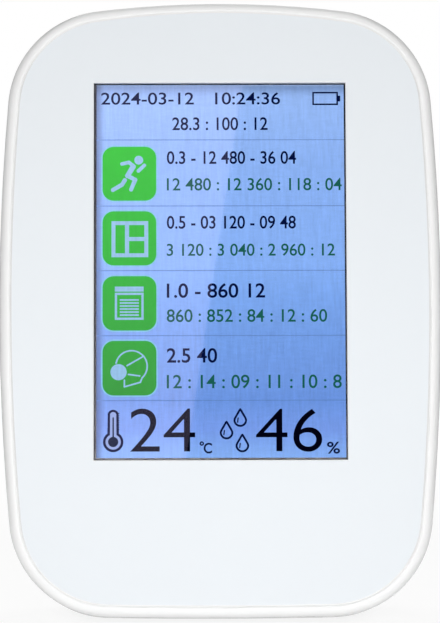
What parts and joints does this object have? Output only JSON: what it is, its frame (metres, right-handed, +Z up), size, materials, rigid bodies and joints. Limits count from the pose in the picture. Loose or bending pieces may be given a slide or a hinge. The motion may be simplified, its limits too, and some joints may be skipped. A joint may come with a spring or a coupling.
{
  "type": "airborne particle counter",
  "caption": "Battery air monitor that counts airborne particles, with a leaning white housing, a portrait colour display and a fan-driven laser sensor behind a rear grille.",
  "frame": {"origin": "on the ground below the middle of the housing, at the bottom centre of the bounding box", "axes": "+Z up, -Y towards the person who reads the display, +X to that person's right; the face leans back towards +Y"},
  "size_m": [0.087, 0.0511, 0.1216],
  "materials": {
    "housing_white": "polished white moulding",
    "cover_white": "satin white moulding",
    "panel_white": "glossy, faintly bluish white sheet",
    "tape_black": "matt black adhesive",
    "touch_glass": "clear, glossy",
    "display": "lit colour display",
    "guide_clear": "clear acrylic",
    "tray_steel": "pressed sheet",
    "foam_black": "open foam",
    "board_green": "solder mask",
    "flex_amber": "polyimide film",
    "connector_cream": "moulded nylon",
    "chip_black": "moulded package",
    "shell_steel": "bright stamped sheet",
    "button_grey": "polished moulding",
    "plunger_white": "moulded",
    "pouch_silver": "laminated foil",
    "wire_red": "extruded insulation",
    "sensor_blue": "dark moulding",
    "brass_can": "turned",
    "ribbon_grey": "ribbon insulation",
    "fan_black": "moulded",
    "screw_steel": "plated",
    "foot_rubber": "matt grey"
  },
  "bodies": {
    "housing": {"front_housing": "housing_white", "rear_cover": "cover_white", "front_panel": "panel_white", "panel_tape": "tape_black", "touch_panel": "touch_glass", "lcd_cell": "display", "light_guide": "guide_clear", "backlight_tray": "tray_steel", "display_gasket": "foam_black", "display_tape": "tape_black", "main_board": "board_green", "display_flex": "flex_amber", "display_socket": "connector_cream", "board_chips": "chip_black", "usb_socket": "shell_steel", "power_switch": "chip_black", "battery_cell": "pouch_silver", "battery_tape": "tape_black", "battery_wires": "wire_red", "battery_connector": "connector_cream", "sensor_connector": "connector_cream", "particle_sensor_case": "sensor_blue", "particle_sensor_lid": "shell_steel", "sensor_board": "board_green", "laser_diode": "brass_can", "photodiode": "chip_black", "sensor_gasket": "foam_black", "sensor_ribbon": "ribbon_grey", "fan_motor": "fan_black", "climate_sensor": "plunger_white", "housing_screws": "screw_steel", "board_screws": "screw_steel", "front_foot": "foot_rubber", "rear_foot": "foot_rubber"},
    "power_button": {"power_button": "button_grey", "switch_plunger": "plunger_white"},
    "fan_rotor": {"fan_rotor": "fan_black"}
  },
  "joints": [
    {"name": "power_button_press", "type": "slide", "parent": "housing", "child": "power_button", "axis": [0, -0.1392, -0.9903], "range_m": [0, 0.00035], "stiffness_N_per_m": 400, "springref_m": -0.002},
    {"name": "fan_spin", "type": "hinge", "parent": "housing", "child": "fan_rotor", "pos_m": [0.0115, 0.01631, 0.07013], "axis": [0, 0.9903, -0.1392], "continuous": true}
  ]
}
